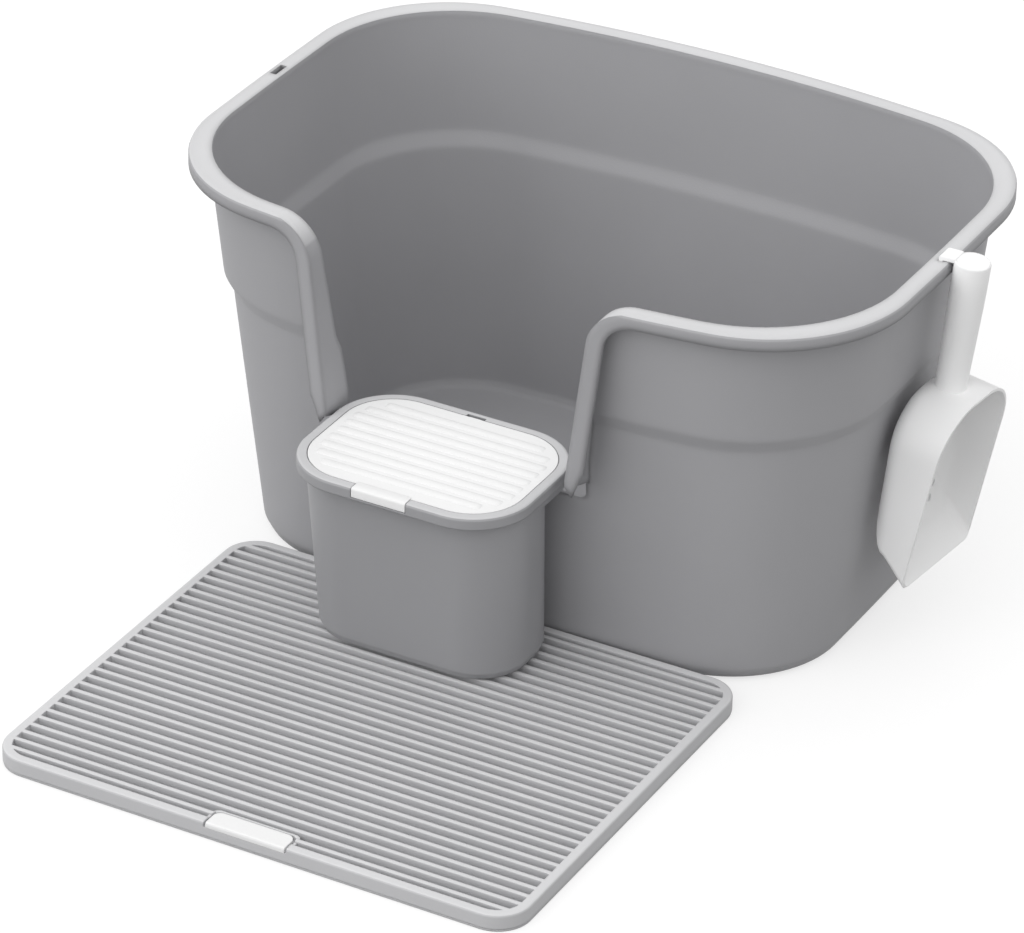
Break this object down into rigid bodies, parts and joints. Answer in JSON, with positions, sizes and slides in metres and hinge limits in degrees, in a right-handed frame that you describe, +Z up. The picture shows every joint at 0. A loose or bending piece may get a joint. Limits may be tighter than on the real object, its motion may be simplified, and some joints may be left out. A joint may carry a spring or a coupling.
{
  "type": "litter box enclosure",
  "caption": "Open-top litter pan with a U-shaped entry, a ribbed catch mat, a lidded step bin and a hanging scoop.",
  "frame": {"origin": "middle of the pan's flat underside, on the floor", "axes": "+X right as seen from the entry, +Y from the entry towards the back, +Z up"},
  "size_m": [0.591, 0.695, 0.309],
  "materials": {
    "pan_grey": "satin",
    "mat_grey": "satin",
    "white": "semi gloss"
  },
  "bodies": {
    "pan": {"pan": "pan_grey"},
    "mat": {"mat_tray": "mat_grey"},
    "grate": {"mat_grate": "mat_grey", "mat_lift_tab": "white"},
    "bin": {"step_bin": "pan_grey"},
    "lid": {"bin_lid": "white"},
    "scoop": {"scoop": "white", "scoop_end_plug": "white"}
  },
  "joints": [
    {"name": "mat_slide", "type": "slide", "parent": "pan", "child": "mat", "axis": [0, -1, 0], "range_m": [0, 0.15]},
    {"name": "grate_lift", "type": "slide", "parent": "mat", "child": "grate", "axis": [0, 0, 1], "range_m": [0, 0.02]},
    {"name": "bin_lift", "type": "slide", "parent": "grate", "child": "bin", "axis": [0, -0.1093, 0.994], "range_m": [0, 0.18]},
    {"name": "lid_hinge", "type": "hinge", "parent": "bin", "child": "lid", "pos_m": [-0.0195, -0.1443, 0.1586], "axis": [-1, 0, 0], "range_deg": [0, 95]},
    {"name": "scoop_lift", "type": "slide", "parent": "pan", "child": "scoop", "axis": [0.1084, 0, 0.9941], "range_m": [0, 0.02]}
  ]
}
